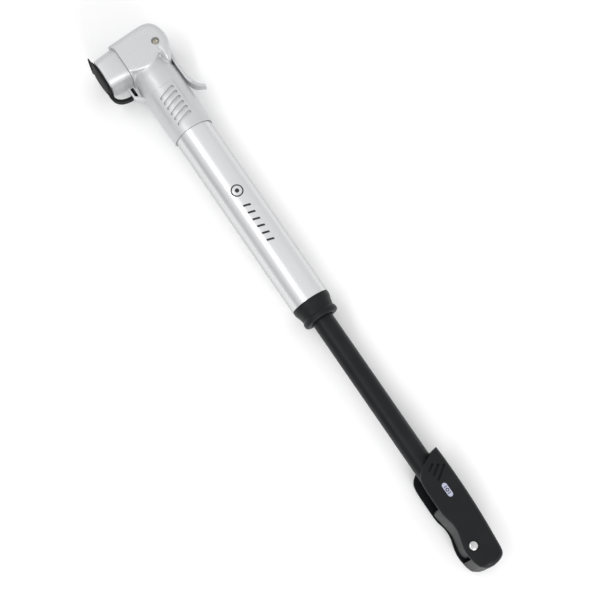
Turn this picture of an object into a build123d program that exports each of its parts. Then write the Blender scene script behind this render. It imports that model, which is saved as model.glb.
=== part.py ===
from build123d import *
import math
import os

os.makedirs("parts", exist_ok=True)

# Bicycle mini pump, lying on its side. The barrel axis is the X axis: the valve head is towards -X and
# the folding handle towards +X. The nozzle points along -Y and the thumb lever lies along the +Y side.
# The origin is on the barrel axis, where the barrel leaves the sleeve of the head.

# ---- barrel and rod ----
barrel_r = 11.0            # outer radius of the aluminium barrel
barrel_bore_r = 9.8
barrel_inner_x = -30.0     # barrel end inside the sleeve
barrel_end_x = 113.2       # barrel end at the collar
collar_end_x = 124.6
rod_r = 6.0
rod_bore_r = 4.8
rod_start_x = 76.3
rod_end_x = 256.0
running_fit = 0.05         # radial clearance of shafts that turn or slide

# ---- head ----
nozzle_x = -53.6           # the nozzle axis crosses the barrel axis here
head_half_height = 13.2
head_round = 6.5
head_face_y = -11.3        # the nozzle cap starts here
sleeve_r = 12.3
sleeve_rim_r = 11.55
slot_floor_r = 11.5
drum_r = 11.2              # round top pad that meets the sleeve

# ---- nozzle ----
mouth_y = -24.2
cap_half_width = 10.1
cap_half_height = 12.0
cap_wall_y = -22.2         # inner face of the nozzle cap's front wall
valve_r = 4.2              # grommet's bore, for an 8 mm car-type valve
mouth_r = 4.7              # hole in the nozzle cap
thread_r = 9.4
thread_top_y = -7.0
gland_chamber_r = 7.6
gland_top_y = -11.6

# ---- lever ----
pin_x, pin_y = -51.7, 9.7
pin_r = 1.4
lever_half_width = 4.3
lever_slot_half = 4.6
cam_low_r = 5.0
cam_high_r = 6.6
cam_lift = cam_high_r - cam_low_r

# ---- handle ----
handle_roll = 8.0          # the handle is stored rolled a little about the rod
handle_half_width = 10.5
channel_half_width = 8.5
knuckle_half_width = 8.2
fold_x, fold_y = 265.3, -5.1
rivet_r = 2.0

nozzle_axis = Axis((nozzle_x, 0, 0), (0, 1, 0))
roll = math.radians(handle_roll)
handle_plane = Plane(origin=(0, 0, 0), x_dir=(1, 0, 0), z_dir=(0, math.sin(roll), math.cos(roll)))


def across_nozzle(y):
    """Work plane across the nozzle at height y. Its normal points out of the mouth, along -Y."""
    return Plane(origin=(nozzle_x, y, 0), x_dir=(1, 0, 0), z_dir=(0, -1, 0))


def across_barrel(x):
    """Work plane across the barrel at x. Its normal points along +X."""
    return Plane(origin=(x, 0, 0), x_dir=(0, 1, 0), z_dir=(1, 0, 0))


def finish(piece, name):
    piece.part.label = name
    export_step(piece.part, f"parts/{name}.step")


# ================= head =================
with BuildPart() as head_body:
    # block with a domed back, rounded above and below
    with BuildSketch(Plane.XY.offset(-head_half_height)):
        with BuildLine():
            side = Line((nozzle_x - 11.0, head_face_y), (nozzle_x - 11.9, 3.5))
            dome = Spline(side @ 1, (-62.4, 12.8), (-54.0, 16.8), (-44.6, 13.8), (nozzle_x + 13.8, 5.5),
                          tangents=(side % 1, (0, -1)))
            Polyline(dome @ 1, (nozzle_x + 12.2, head_face_y), side @ 0)
        make_face()
    extrude(amount=2 * head_half_height)
    rim = head_body.edges().group_by(Axis.Z)[-1] + head_body.edges().group_by(Axis.Z)[0]
    fillet([e for e in rim if e.center().Y > head_face_y + 0.1], head_round)
    # round pad over the junction
    with BuildSketch(Plane.XY.offset(-head_half_height)):
        with Locations((nozzle_x, 0)):
            Circle(drum_r)
    extrude(amount=2 * head_half_height)
    # grip sleeve around the barrel
    with BuildSketch(Plane.XY):
        with BuildLine():
            swell = Spline((nozzle_x + 6, sleeve_r - 1.3), (-43.4, sleeve_r - 1.1), (-38, sleeve_r - 0.2),
                           (-22, sleeve_r + 0.05), (-1.2, sleeve_rim_r + 0.3))
            Line(swell @ 1, (0, sleeve_rim_r))
            Polyline((0, sleeve_rim_r), (0, 0), (nozzle_x + 6, 0), swell @ 0)
        make_face()
    revolve(axis=Axis.X)
    # slanted grip slots on the top of the sleeve, with a round floor over the barrel
    with BuildSketch(Plane.XY.offset(8)):
        for slot_number in range(6):
            with Locations(Location((-23.9 + 3.45 * slot_number, -0.8, 0), (0, 0, 107))):
                SlotOverall(10.4, 1.8)
    extrude(amount=8, mode=Mode.SUBTRACT)
    with BuildSketch(across_barrel(-29)):
        Circle(slot_floor_r)
    extrude(amount=28)
    # lever slot with a round pocket for the hub
    with BuildSketch(Plane.XY.offset(-lever_slot_half)):
        with Locations((pin_x, pin_y)):
            Circle(cam_high_r + 0.4)
        with BuildLine():
            pocket = pin_x - cam_high_r - 0.4
            Polyline((pocket, pin_y), (pin_x, pin_y), (pin_x, sleeve_r), (-36, sleeve_r),
                     (-36, 20), (pocket, 20), close=True)
        make_face()
    extrude(amount=2 * lever_slot_half, mode=Mode.SUBTRACT)
    with BuildSketch(Plane.XY.offset(-head_half_height)):
        with Locations((pin_x, pin_y)):
            Circle(pin_r)
    extrude(amount=2 * head_half_height, mode=Mode.SUBTRACT)
    # thread, plunger bore and stem bore along the nozzle
    for bore_r, bottom_y, top_y in (
        (thread_r + 0.1, head_face_y - 1, thread_top_y + 0.2),
        (gland_chamber_r, head_face_y - 1, 1.2),
        (2.95, head_face_y - 1, 5.0),
    ):
        with BuildSketch(across_nozzle(top_y)):
            Circle(bore_r)
        extrude(amount=top_y - bottom_y, mode=Mode.SUBTRACT)
    # barrel socket, valve seat recess, check valve chamber and air passage along the barrel axis
    for bore_r, deepest_x in ((barrel_r + 0.02, -31.2), (9.0, -34.2), (3.2, -38.2), (1.1, nozzle_x + 5)):
        with BuildSketch(across_barrel(deepest_x)):
            Circle(bore_r)
        extrude(amount=1 - deepest_x, mode=Mode.SUBTRACT)
    # eyelet for the dust cap's strap
    with BuildSketch(Plane.XY.offset(-3)):
        with BuildLine():
            Polyline((-40.6, -15.5), (-34.8, -15.5), (-31.2, -11.8), (-28.8, -11.8),
                     (-34.0, -16.7), (-40.6, -16.7), close=True)
        make_face()
    extrude(amount=6)
    with BuildSketch(Plane(origin=(-36.4, -15, 0), x_dir=(1, 0, 0), z_dir=(0, -1, 0))):
        RectangleRounded(2.6, 4.6, 0.8)
    extrude(amount=3, mode=Mode.SUBTRACT)
finish(head_body, "head_body")

with BuildPart() as nozzle_cap:
    with BuildSketch(across_nozzle(head_face_y)):
        RectangleRounded(2 * cap_half_width, 2 * cap_half_height, 6)
    extrude(amount=head_face_y - mouth_y)
    fillet(nozzle_cap.edges().group_by(Axis.Y)[0], 1.2)
    with BuildSketch(across_nozzle(thread_top_y)):
        Circle(thread_r)
    extrude(amount=thread_top_y - head_face_y)
    with BuildSketch(across_nozzle(thread_top_y)):
        Circle(gland_chamber_r)
    extrude(amount=thread_top_y - cap_wall_y, mode=Mode.SUBTRACT)
    with BuildSketch(across_nozzle(cap_wall_y)):
        Circle(mouth_r)
    extrude(amount=cap_wall_y - mouth_y, mode=Mode.SUBTRACT)
finish(nozzle_cap, "nozzle_cap")

with BuildPart() as valve_gland:
    with BuildSketch(across_nozzle(gland_top_y)):
        Circle(gland_chamber_r - 0.3)
        Circle(valve_r, mode=Mode.SUBTRACT)
    extrude(amount=gland_top_y - cap_wall_y)
finish(valve_gland, "valve_gland")

# ================= plunger that the lever's cam pushes onto the grommet =================
with BuildPart() as gland_washer:
    with BuildSketch(across_nozzle(gland_top_y + 1)):
        Circle(gland_chamber_r - 0.3)
        Circle(mouth_r, mode=Mode.SUBTRACT)
    extrude(amount=1)
finish(gland_washer, "gland_washer")

plunger_face_y = gland_top_y + 1
stem_top_y = pin_y - cam_low_r - 0.05

with BuildPart() as gland_plunger:
    with BuildSketch(across_nozzle(-7.4)):
        Circle(gland_chamber_r - 0.15)
    extrude(amount=-7.4 - plunger_face_y)
    with BuildSketch(across_nozzle(stem_top_y)):
        Circle(2.9)
    extrude(amount=stem_top_y + 7.4)
    # groove for the stem seal
    with BuildSketch(across_nozzle(3.2)):
        Circle(4)
        Circle(2.1, mode=Mode.SUBTRACT)
    extrude(amount=1.2, mode=Mode.SUBTRACT)
    # air way: cross hole, then down the middle
    with BuildSketch(across_barrel(nozzle_x - 5)):
        with Locations((-1, 0)):
            Circle(0.8)
    extrude(amount=10, mode=Mode.SUBTRACT)
    with BuildSketch(across_nozzle(-1)):
        Circle(1.4)
    extrude(amount=12, mode=Mode.SUBTRACT)
    with BuildSketch(across_nozzle(plunger_face_y + 1)):
        Circle(2.2)
    extrude(amount=1, mode=Mode.SUBTRACT)
finish(gland_plunger, "gland_plunger")

with BuildPart() as stem_seal:
    with BuildSketch(Plane.XY):
        with Locations((nozzle_x + 2.5, 2.6)):
            Circle(0.4)
    revolve(axis=nozzle_axis)
finish(stem_seal, "stem_seal")

with BuildPart() as core_depressor:
    with BuildSketch(across_nozzle(plunger_face_y + 1)):
        Circle(2.2)
        with PolarLocations(1.45, 3):
            Circle(0.4, mode=Mode.SUBTRACT)
    extrude(amount=1)
    with BuildSketch(across_nozzle(plunger_face_y)):
        Circle(0.8)
    extrude(amount=0.8)
finish(core_depressor, "core_depressor")

# ================= thumb lever =================
with BuildPart() as thumb_lever:
    with BuildSketch(Plane.XY.offset(-lever_half_width)):
        # cam whose reach towards the plunger's flat top grows evenly over a quarter turn
        with Locations((pin_x, pin_y)):
            Circle(cam_low_r)
        cam_slope = cam_lift / (math.pi / 2)
        cam_points = []
        for step in range(7):
            turn = math.radians(15 * step)
            reach = cam_low_r + cam_slope * turn
            cam_points.append((pin_x - reach * math.sin(turn) - cam_slope * math.cos(turn),
                               pin_y - reach * math.cos(turn) + cam_slope * math.sin(turn)))
        with BuildLine():
            cam = Spline(cam_points)
            crown = ThreePointArc(cam @ 1, (pin_x - 4.5, pin_y + 4.9), (pin_x, pin_y + cam_high_r))
            Polyline(crown @ 1, (pin_x + 3.2, pin_y + cam_high_r - 0.7), (pin_x + 3.2, pin_y),
                     (pin_x, pin_y), (pin_x, pin_y - cam_low_r), cam @ 0)
        make_face()
        # blade along the sleeve, curled up at its tip
        with BuildLine():
            outer = Spline((pin_x, pin_y + cam_high_r), (-43, 14.8), (-33, 14.4), (-25, 15.8), (-19.6, 20.6),
                           tangents=((1, 0), (0.35, 1)))
            tip = Line(outer @ 1, (-17.9, 20.0))
            inner = Spline(tip @ 1, (-23, 14.4), (-31, 12.7), (-46, 12.7))
            Line(inner @ 1, (pin_x, 12.7))
            Line((pin_x, 12.7), outer @ 0)
        make_face()
    extrude(amount=2 * lever_half_width)
    with BuildSketch(Plane.XY.offset(-lever_half_width)):
        with Locations((pin_x, pin_y)):
            Circle(pin_r + running_fit)
    extrude(amount=2 * lever_half_width, mode=Mode.SUBTRACT)
finish(thumb_lever, "thumb_lever")

with BuildPart() as lever_pin:
    with BuildSketch(Plane.XY.offset(-11.6)):
        with Locations((pin_x, pin_y)):
            Circle(pin_r)
    extrude(amount=23.2)
finish(lever_pin, "lever_pin")

# ================= check valve between barrel and head =================
with BuildPart() as barrel_seal:
    with BuildSketch(Plane.XY):
        with Locations((-30.6, 10.4)):
            Circle(0.6)
    revolve(axis=Axis.X)
finish(barrel_seal, "barrel_seal")

with BuildPart() as check_seat:
    with BuildSketch(across_barrel(-34.2)):
        Circle(8.98)
        Circle(1.4, mode=Mode.SUBTRACT)
    extrude(amount=3)
finish(check_seat, "check_seat")

with BuildPart() as check_disc:
    with BuildSketch(across_barrel(-35.4)):
        Circle(2.6)
    extrude(amount=1.18)
finish(check_disc, "check_disc")

with BuildPart() as check_spring:
    with BuildLine():
        coil = Helix(pitch=1.0, height=2.1, radius=1.9, center=(-37.85, 0, 0), direction=(1, 0, 0))
    with BuildSketch(Plane(origin=coil @ 0, z_dir=coil % 0)):
        Circle(0.2)
    sweep(is_frenet=True)
finish(check_spring, "check_spring")

# ================= barrel =================
with BuildPart() as barrel_tube:
    with BuildSketch(across_barrel(barrel_inner_x)):
        Circle(barrel_r)
        Circle(barrel_bore_r, mode=Mode.SUBTRACT)
    extrude(amount=barrel_end_x - barrel_inner_x)
finish(barrel_tube, "barrel_tube")

with BuildPart() as barrel_collar:
    with BuildSketch(Plane.XY):
        with BuildLine():
            Polyline((101.5, 7.6), (101.5, barrel_bore_r - 0.02), (barrel_end_x, barrel_bore_r - 0.02),
                     (barrel_end_x, barrel_r - 0.1), (115.6, barrel_r - 0.1))
            waist = Spline((115.6, barrel_r - 0.1), (119.9, 9.5), (121.4, 9.6), tangents=((1, 0), (0.7, 0.7)))
            Polyline(waist @ 1, (122.0, 10.0), (123.8, 10.0), (collar_end_x, 9.3), (collar_end_x, 6.5),
                     (124.0, 6.5), (124.0, 7.6), (101.5, 7.6))
        make_face()
    revolve(axis=Axis.X)
finish(barrel_collar, "barrel_collar")

with BuildPart() as guide_bush:
    with BuildSketch(across_barrel(102.0)):
        Circle(7.58)
        Circle(rod_r + running_fit, mode=Mode.SUBTRACT)
    extrude(amount=19.4)
finish(guide_bush, "guide_bush")

with BuildPart() as wiper_ring:
    with BuildSketch(across_barrel(121.6)):
        Circle(7.5)
        Circle(rod_r + 0.02, mode=Mode.SUBTRACT)
    extrude(amount=2.2)
finish(wiper_ring, "wiper_ring")

with BuildPart() as end_bumper:
    with BuildSketch(across_barrel(98.9)):
        Circle(barrel_bore_r - 0.1)
        Circle(rod_r + 0.5, mode=Mode.SUBTRACT)
    extrude(amount=2.6)
finish(end_bumper, "end_bumper")

# ================= piston and rod =================
piston_front_x = 62.0
with BuildPart() as piston_head:
    with BuildSketch(across_barrel(piston_front_x)):
        Circle(barrel_bore_r - 0.3)
    extrude(amount=14)
    with BuildSketch(across_barrel(66.6)):
        Circle(barrel_bore_r)
        Circle(8.15, mode=Mode.SUBTRACT)
    extrude(amount=1.8, mode=Mode.SUBTRACT)
    with BuildSketch(across_barrel(piston_front_x)):
        Circle(4.2)
    extrude(amount=2.6, mode=Mode.SUBTRACT)
    with BuildSketch(across_barrel(piston_front_x)):
        Circle(2.0 + running_fit)
    extrude(amount=14, mode=Mode.SUBTRACT)
    # air grooves in the skirt behind the seal
    with BuildSketch(across_barrel(70.5)):
        with PolarLocations(barrel_bore_r, 6):
            Circle(1.4)
    extrude(amount=5.5, mode=Mode.SUBTRACT)
finish(piston_head, "piston_head")

with BuildPart() as piston_seal:
    with BuildSketch(Plane.XY):
        with Locations((67.5, 8.97)):
            Circle(0.8)
    revolve(axis=Axis.X)
finish(piston_seal, "piston_seal")

with BuildPart() as rod_tube:
    with BuildSketch(across_barrel(rod_start_x)):
        Circle(rod_r)
        Circle(rod_bore_r, mode=Mode.SUBTRACT)
    extrude(amount=rod_end_x - rod_start_x)
    with BuildSketch(handle_plane.offset(-10)):
        with Locations((249, 0)):
            Circle(1.5)
    extrude(amount=20, mode=Mode.SUBTRACT)
finish(rod_tube, "rod_tube")

with BuildPart() as rod_plug:
    with BuildSketch(across_barrel(rod_start_x)):
        Circle(rod_bore_r)
        Circle(2.0, mode=Mode.SUBTRACT)
    extrude(amount=14)
finish(rod_plug, "rod_plug")

with BuildPart() as piston_screw:
    with BuildSketch(across_barrel(piston_front_x + 0.3)):
        Circle(3.6)
    extrude(amount=2.2)
    with BuildSketch(across_barrel(piston_front_x + 2)):
        Circle(2.0)
    extrude(amount=22)
    with BuildSketch(across_barrel(piston_front_x + 0.3)):
        RegularPolygon(1.6, 6)
    extrude(amount=1.4, mode=Mode.SUBTRACT)
finish(piston_screw, "piston_screw")

# ================= rod end and folding handle =================
with BuildPart() as rod_knuckle:
    with BuildSketch(handle_plane.offset(-knuckle_half_width)):
        with BuildLine():
            nose = fold_x + 4.5
            Polyline((nose, fold_y), (nose, 2.5), (262, 5.9), (256, 6.8), (241.6, 6.8), (240.6, 5.8),
                     (240.6, -7.6), (241.6, -8.6), (243.5, -8.6))
            Spline((243.5, -8.6), (249, -7.4), (255, -6.9), (260, -7.9), (fold_x, -8.7), (nose, fold_y),
                   tangents=((1, 0.1), (0, 1)))
        make_face()
    extrude(amount=2 * knuckle_half_width)
    with BuildSketch(across_barrel(240)):
        Circle(rod_r + 0.02)
    extrude(amount=rod_end_x - 240, mode=Mode.SUBTRACT)
    with BuildSketch(handle_plane.offset(-10)):
        with Locations((249, 0)):
            Circle(1.5)
        with Locations((fold_x, fold_y)):
            Circle(rivet_r + running_fit)
    extrude(amount=20, mode=Mode.SUBTRACT)
    # pocket of the detent
    with BuildSketch(handle_plane.offset(knuckle_half_width - 5)):
        with Locations((fold_x - 1, 0.6)):
            Circle(1.6)
    extrude(amount=6, mode=Mode.SUBTRACT)
finish(rod_knuckle, "rod_knuckle")

with BuildPart() as cross_pin:
    with BuildSketch(handle_plane.offset(-knuckle_half_width + 0.1)):
        with Locations((249, 0)):
            Circle(1.5)
    extrude(amount=2 * knuckle_half_width - 0.2)
finish(cross_pin, "cross_pin")

with BuildPart() as detent_ball:
    with Locations(handle_plane * Location((fold_x - 1, 0.6, channel_half_width - 1.55))):
        Sphere(1.5)
finish(detent_ball, "detent_ball")

with BuildPart() as detent_spring:
    with BuildSketch(handle_plane.offset(knuckle_half_width - 4.9)):
        with Locations((fold_x - 1, 0.6)):
            Circle(1.4)
            Circle(0.8, mode=Mode.SUBTRACT)
    extrude(amount=1.8)
finish(detent_spring, "detent_spring")

with BuildPart() as handle_shell:
    with BuildSketch(handle_plane.offset(-handle_half_width)):
        with BuildLine():
            back = Spline((213.4, 9.3), (230, 9.5), (248, 9.2), (277.2, 7.6))
            end = ThreePointArc(back @ 1, (279.3, 1.0), (278.4, -5.0))
            # free edge of the walls: round ears at the fold, then a hollow for the thumb
            rim = Spline(end @ 1, (275.6, -8.5), (270, -9.5), (fold_x, -10.2), (260, -9.2), (253.5, -7.6),
                         (248, -8.2), (243.5, -9.3), (227, -8.8))
            throat = Spline(rim @ 1, (221.8, -7.4), (219.0, -4.8), tangents=(rim % 1, (-0.4, 1)))
            Line(throat @ 1, back @ 0)
        make_face()
        fillet(vertices().sort_by_distance((277.2, 7.6, 0))[0], 4)
    extrude(amount=2 * handle_half_width)
    round_edges = []
    for edge in handle_shell.edges():
        middle = handle_plane.to_local_coords(edge.center())
        if abs(middle.Z) > 1 and (middle.Y > 6 or (middle.X > 276 and middle.Y > -4)):
            round_edges.append(edge)
    fillet(round_edges, 2.2)
    with BuildSketch(handle_plane.offset(-channel_half_width)):
        with BuildLine():
            Polyline((205, -20), (fold_x + 5, -20), (fold_x + 5, 6.0), (257, 7.2), (205, 7.2), close=True)
        make_face()
    extrude(amount=2 * channel_half_width, mode=Mode.SUBTRACT)
    with BuildSketch(handle_plane.offset(-15)):
        with Locations((fold_x, fold_y)):
            Circle(rivet_r + 0.02)
    extrude(amount=30, mode=Mode.SUBTRACT)
    # slanted grip grooves near the tip, each longer than the last
    for groove_number in range(3):
        groove_place = (221.1 + 2.4 * groove_number, -0.3 + 1.6 * groove_number, 0)
        with BuildSketch(handle_plane.offset(handle_half_width - 0.5)):
            with Locations(Location(groove_place, (0, 0, 120 + 2 * groove_number))):
                SlotOverall(4.8 + 2.3 * groove_number, 0.9)
        extrude(amount=2, mode=Mode.SUBTRACT)
finish(handle_shell, "handle_shell")

with BuildPart() as fold_rivet:
    with BuildSketch(handle_plane.offset(-handle_half_width)):
        with Locations((fold_x, fold_y)):
            Circle(rivet_r)
    extrude(amount=2 * handle_half_width)
    for side_height in (handle_half_width, -handle_half_width - 0.5):
        with BuildSketch(handle_plane.offset(side_height)):
            with Locations((fold_x, fold_y)):
                Circle(2.4)
        extrude(amount=0.5)
finish(fold_rivet, "fold_rivet")

# ================= rubber dust cap and its strap =================
cap_face_y = mouth_y - 0.3
cap_r = 11.7
plug_end_y = cap_wall_y - 0.3
ear_half = 0.65
strap_hinge = (-39.2, cap_face_y - ear_half)
with BuildPart() as dust_cap:
    with BuildSketch(Plane.YZ.offset(nozzle_x)):
        with BuildLine():
            Polyline((plug_end_y, 0), (plug_end_y, 3.6), (cap_face_y, 3.6), (cap_face_y, cap_r - 0.4),
                     (cap_face_y - 0.5, cap_r))
            Spline((cap_face_y - 0.5, cap_r), (cap_face_y - 2.4, 6.4), (cap_face_y - 3.1, 1.0),
                   tangents=((-1, -0.9), (0, -1)))
            Polyline((cap_face_y - 3.1, 1.0), (cap_face_y - 3.1, 0), (plug_end_y, 0))
        make_face()
    revolve(axis=nozzle_axis)
    # pull tab
    with BuildSketch(across_nozzle(cap_face_y)):
        with Locations((-cap_r, 0)):
            RectangleRounded(6, 6.4, 2.4)
    extrude(amount=1.3)
    # ear with a round end where it bends off the strap
    with BuildSketch(Plane.XY.offset(-2)):
        with Locations(strap_hinge):
            Circle(ear_half)
        with Locations((strap_hinge[0] - 3, strap_hinge[1])):
            Rectangle(6, 2 * ear_half)
    extrude(amount=4)
finish(dust_cap, "dust_cap")

with BuildPart() as dust_cap_strap:
    with BuildSketch(Plane.XY.offset(-2)):
        with BuildLine():
            Polyline((-38.2, -25.9), (-37.2, -25.2), (-35.6, -21.2), (-35.4, -17.2), (-35.4, -14.9),
                     (-37.4, -14.9), (-37.4, -17.2), (-37.5, -21.0), (-38.2, -23.4), close=True)
        make_face()
    extrude(amount=4)
    with BuildSketch(Plane(origin=(-38.2, -14.4, 0), x_dir=(0, 1, 0), z_dir=(1, 0, 0))):
        Circle(0.9)
    extrude(amount=1.9, both=True)
finish(dust_cap_strap, "dust_cap_strap")
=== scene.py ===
import math

import bpy
from mathutils import Euler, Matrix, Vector


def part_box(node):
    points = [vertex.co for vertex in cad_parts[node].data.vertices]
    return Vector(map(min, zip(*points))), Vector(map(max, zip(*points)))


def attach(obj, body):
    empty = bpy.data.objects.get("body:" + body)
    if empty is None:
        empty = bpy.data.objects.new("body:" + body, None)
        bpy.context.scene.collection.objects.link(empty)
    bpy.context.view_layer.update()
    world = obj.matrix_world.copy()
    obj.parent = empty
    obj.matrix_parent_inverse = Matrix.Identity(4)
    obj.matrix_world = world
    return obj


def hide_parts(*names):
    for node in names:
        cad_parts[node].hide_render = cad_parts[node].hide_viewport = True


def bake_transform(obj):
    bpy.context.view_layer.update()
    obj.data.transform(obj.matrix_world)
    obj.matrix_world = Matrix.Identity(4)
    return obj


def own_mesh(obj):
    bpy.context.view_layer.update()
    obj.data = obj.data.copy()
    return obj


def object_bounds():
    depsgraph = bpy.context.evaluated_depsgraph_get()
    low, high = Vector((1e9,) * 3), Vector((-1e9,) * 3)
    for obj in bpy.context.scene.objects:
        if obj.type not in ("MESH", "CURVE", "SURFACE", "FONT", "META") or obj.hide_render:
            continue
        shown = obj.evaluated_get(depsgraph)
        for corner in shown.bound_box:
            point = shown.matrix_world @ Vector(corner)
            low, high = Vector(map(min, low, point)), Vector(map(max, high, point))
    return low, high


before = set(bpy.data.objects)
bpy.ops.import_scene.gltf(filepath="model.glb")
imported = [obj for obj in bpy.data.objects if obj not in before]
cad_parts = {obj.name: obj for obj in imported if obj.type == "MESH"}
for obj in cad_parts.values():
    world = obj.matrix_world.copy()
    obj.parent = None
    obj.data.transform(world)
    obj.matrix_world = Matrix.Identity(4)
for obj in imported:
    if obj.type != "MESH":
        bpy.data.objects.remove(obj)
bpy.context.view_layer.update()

# A bicycle mini pump on a pale table. The barrel axis is X, the head is towards -X and the folding handle
# towards +X, and the nozzle points along -Y. Lengths in the tables and calls below are in millimetres.

MM = 0.001
FULL_TURN = 2 * math.pi
ALONG_X = Vector((1, 0, 0))
ALONG_Y = Vector((0, 1, 0))
ALONG_Z = Vector((0, 0, 1))
FINE = 128                 # sides of the round pieces


# ---------------------------------------------------------------- modelling helpers
def at(x, y, z=0.0):
    """A place given in millimetres."""
    return Vector((x, y, z)) * MM


def pick(piece):
    """Leaves this piece alone selected."""
    bpy.ops.object.select_all(action="DESELECT")
    piece.select_set(True)
    bpy.context.view_layer.objects.active = piece


def settle(piece):
    """Puts the piece's place and turn into its mesh."""
    pick(piece)
    bpy.ops.object.transform_apply(location=True, rotation=True, scale=True)
    return piece


def edit(piece, mode="VERT"):
    """Opens edit mode with all of the piece selected."""
    pick(piece)
    bpy.ops.object.mode_set(mode="EDIT")
    bpy.ops.mesh.select_mode(type=mode)
    bpy.ops.mesh.select_all(action="SELECT")


def done():
    bpy.ops.object.mode_set(mode="OBJECT")


def apply_modifier(piece, kind, **settings):
    """Adds a modifier, sets it and applies it."""
    modifier = piece.modifiers.new(kind.lower(), kind)
    for key, value in settings.items():
        setattr(modifier, key, value)
    pick(piece)
    bpy.ops.object.modifier_apply(modifier=modifier.name)


def trace(name, points, closed):
    """Draws a line from point to point by extruding one vertex, and fills it if it is closed."""
    bpy.ops.object.select_all(action="DESELECT")
    bpy.ops.mesh.primitive_plane_add(size=MM, location=points[0])
    piece = bpy.context.object
    piece.name = name
    edit(piece)
    bpy.ops.mesh.merge(type="CENTER")
    for here, there in zip(points, points[1:]):
        bpy.ops.mesh.extrude_vertices_move(TRANSFORM_OT_translate={"value": there - here})
    bpy.ops.mesh.select_all(action="SELECT")
    if closed:
        bpy.ops.mesh.edge_face_add()
    done()
    return settle(piece)


def prism(name, outline, low, high):
    """A block with this plan outline, from one height to another."""
    piece = trace(name, [at(x, y, low) for x, y in outline], True)
    edit(piece)
    bpy.ops.mesh.extrude_region_move(TRANSFORM_OT_translate={"value": at(0, 0, high - low)})
    bpy.ops.mesh.select_all(action="SELECT")
    bpy.ops.mesh.normals_make_consistent(inside=False)
    done()
    return piece


def lathe(name, profile, centre, axis, steps=FINE):
    """Spins a profile of (distance along the axis, radius) pairs."""
    out = ALONG_Z if abs(axis.z) < 0.5 else ALONG_X
    points = [centre + axis * (along * MM) + out * (radius * MM) for along, radius in profile]
    piece = trace(name, points, False)
    edit(piece)
    bpy.ops.mesh.spin(steps=steps, angle=FULL_TURN, center=centre, axis=axis)
    bpy.ops.mesh.select_all(action="SELECT")
    bpy.ops.mesh.remove_doubles(threshold=0.002 * MM)
    bpy.ops.mesh.normals_make_consistent(inside=False)
    done()
    return piece


def drill(radius, start, end, sides=64):
    """A round bar between two points, mostly used as a cutter."""
    way = end - start
    bpy.ops.object.select_all(action="DESELECT")
    bpy.ops.mesh.primitive_cylinder_add(vertices=sides, radius=radius * MM, depth=way.length,
                                        location=(start + end) / 2,
                                        rotation=way.to_track_quat("Z", "Y").to_euler())
    return settle(bpy.context.object)


def combine(piece, others, operation):
    """Adds, cuts or intersects with the others, which are used up."""
    for other in others:
        apply_modifier(piece, "BOOLEAN", solver="EXACT", object=other, operation=operation)
        bpy.data.objects.remove(other)
    return piece


def join(piece, others):
    """Puts overlapping shapes in one mesh, to be made one skin by soften."""
    pick(piece)
    for other in others:
        other.select_set(True)
    bpy.ops.object.join()


def pillow(name, outline, half, rise, keep, middle):
    """A block whose two faces are rounded by extruding and shrinking them step by step."""
    piece = prism(name, outline, rise - half, half - rise)
    steps = 9
    for side in (1, -1):
        edit(piece, "FACE")
        bpy.ops.mesh.select_all(action="DESELECT")
        done()
        for face in piece.data.polygons:
            face.select = face.normal.z * side > 0.9 and face.center.z * side > 0
        pick(piece)
        bpy.ops.object.mode_set(mode="EDIT")
        height, width = 0.0, 1.0
        for step in range(1, steps + 1):
            turn = math.pi / 2 * step / steps
            lift, shrink = rise * math.sin(turn), 1 - (1 - keep) * (1 - math.cos(turn))
            bpy.ops.mesh.extrude_region_move(
                TRANSFORM_OT_translate={"value": at(0, 0, side * (lift - height))})
            bpy.ops.transform.resize(value=(shrink / width, shrink / width, 1), center_override=middle)
            height, width = lift, shrink
        done()
    return piece


def bevel_edges(piece, width, segments, wanted):
    """Rounds the edges whose two ends, in millimetres, the rule wants."""
    edit(piece, "EDGE")
    bpy.ops.mesh.select_all(action="DESELECT")
    done()
    corners = [vertex.co / MM for vertex in piece.data.vertices]
    for edge in piece.data.edges:
        start, end = edge.vertices
        edge.select = wanted(corners[start], corners[end])
    pick(piece)
    bpy.ops.object.mode_set(mode="EDIT")
    bpy.ops.mesh.bevel(offset=width * MM, segments=segments, affect="EDGES")
    done()


def soften(piece, voxel, passes):
    """Remeshes a joined shape evenly and rounds its creases."""
    apply_modifier(piece, "REMESH", mode="VOXEL", voxel_size=voxel * MM)
    apply_modifier(piece, "SMOOTH", factor=0.5, iterations=passes)


def ease(piece, weight_of, passes):
    """Smooths a piece only where the rule gives a weight."""
    group = piece.vertex_groups.new(name="ease")
    for vertex in piece.data.vertices:
        weight = weight_of(vertex.co / MM)
        if weight > 0:
            group.add([vertex.index], min(weight, 1.0), "REPLACE")
    apply_modifier(piece, "SMOOTH", factor=0.5, iterations=passes, vertex_group=group.name)
    piece.vertex_groups.clear()


def flowing(points, steps=6):
    """Points along a smooth curve through the given points."""
    ends = [points[0]] + list(points) + [points[-1]]
    line = []
    for a, b, c, d in zip(ends, ends[1:], ends[2:], ends[3:]):
        for step in range(steps):
            t = step / steps
            line.append(tuple(0.5 * (2 * q + (r - p) * t + (2 * p - 5 * q + 4 * r - s) * t * t
                                     + (3 * q - p - 3 * r + s) * t ** 3) for p, q, r, s in zip(a, b, c, d)))
    return line + [tuple(points[-1])]


def ring_arc(cx, cy, radius, start, end, steps=12):
    """Points on an arc, angles in degrees."""
    turns = [math.radians(start + (end - start) * step / steps) for step in range(steps + 1)]
    return [(cx + radius * math.cos(turn), cy + radius * math.sin(turn)) for turn in turns]


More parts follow.
